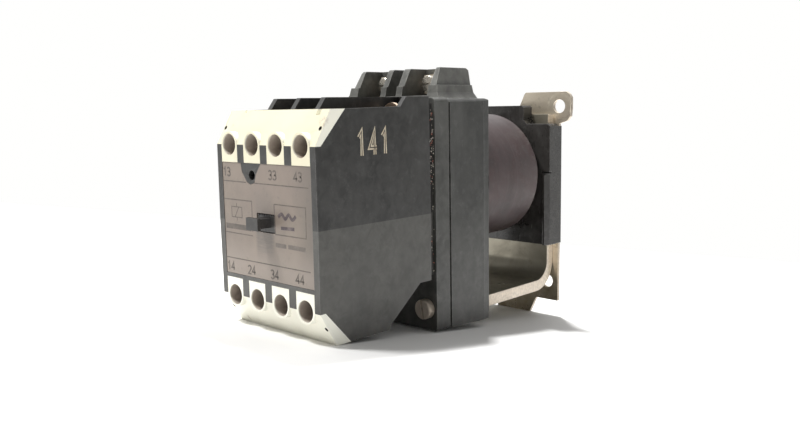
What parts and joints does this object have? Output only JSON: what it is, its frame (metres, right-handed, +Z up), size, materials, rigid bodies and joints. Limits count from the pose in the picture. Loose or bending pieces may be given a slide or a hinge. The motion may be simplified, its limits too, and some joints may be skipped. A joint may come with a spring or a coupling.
{
  "type": "industrial control relay",
  "caption": "Box-shaped contactor relay: black contact block with pale terminal covers and a push nub, wound magnet coil on a bent steel yoke, and a back plate with fixing holes.",
  "frame": {"origin": "back face of the mounting plate, on the centre plane, level with the middle of the contact block", "axes": "+Y out of the back of the mounting plate, towards the panel; the contact block's front faces -Y; +Z up, towards the coil terminals; +X to the right seen from the front"},
  "size_m": [0.053, 0.1399, 0.1023],
  "materials": {
    "black_plastic": "semi-gloss moulded phenolic with a fine grain",
    "housing_plastic": "satin dark grey moulding",
    "cream_plastic": "satin, slightly yellowed",
    "label": "printed matt foil on metal, worn in the middle",
    "bobbin_plastic": "polished black moulding",
    "tape": "maroon cloth-backed insulating tape",
    "copper": "enamelled copper wire",
    "zinc": "yellow-passivated zinc plate, stained",
    "bright_steel": "nickel plated, a little tarnished",
    "core_steel": "turned soft iron",
    "brass": "plain",
    "silver": "fine silver, matt from switching",
    "spring_steel": "drawn wire"
  },
  "bodies": {
    "frame": {"contact_block_housing": "black_plastic", "top_terminal_cover": "cream_plastic", "bottom_terminal_cover": "cream_plastic", "label_plate": "label", "return_springs": "spring_steel", "upper_fixed_contacts": "brass", "lower_fixed_contacts": "brass", "fixed_contact_tips": "silver", "upper_terminal_screws": "bright_steel", "lower_terminal_screws": "bright_steel", "upper_wire_clamps": "zinc", "lower_wire_clamps": "zinc", "contact_block_screws": "bright_steel", "front_flange": "housing_plastic", "housing_screws": "bright_steel", "magnet_housing": "housing_plastic", "coil_terminal_block": "housing_plastic", "coil_terminal_screws": "bright_steel", "coil_wire_clamps": "zinc", "coil_terminal_strips": "brass", "armature_hinge_pin": "bright_steel", "coil_bobbin": "bobbin_plastic", "coil_winding": "copper", "coil_tape": "tape", "magnet_core": "core_steel", "pole_shoe": "core_steel", "core_screw": "bright_steel", "yoke": "zinc", "mounting_plate": "zinc", "plate_rivets": "bright_steel"},
    "carrier": {"contact_carrier": "black_plastic", "drive_pins": "bright_steel", "contact_springs": "spring_steel"},
    "bridges": {"moving_contact_bridges": "brass", "moving_contact_tips": "silver"},
    "armature": {"armature": "zinc", "residual_gap_shim": "brass"}
  },
  "joints": [
    {"name": "carrier_slide", "type": "slide", "parent": "frame", "child": "carrier", "axis": [0, 1, 0], "range_m": [0, 0.0036], "stiffness_N_per_m": 1500, "springref_m": -0.003, "deforming": ["return_springs"]},
    {"name": "bridge_slide", "type": "slide", "parent": "carrier", "child": "bridges", "axis": [0, 1, 0], "range_m": [-0.001, 0], "stiffness_N_per_m": 900, "springref_m": 0.001, "deforming": ["contact_springs"]},
    {"name": "armature_hinge", "type": "hinge", "parent": "frame", "child": "armature", "pos_m": [0, -0.0645, -0.036], "axis": [-1, 0, 0], "range_deg": [0, 5.73]}
  ],
  "couplings": [
    {"joint": "bridge_slide", "follows": "carrier_slide", "ratio": -0.27777},
    {"joint": "armature_hinge", "follows": "carrier_slide", "rad_per_m": 27.777}
  ]
}
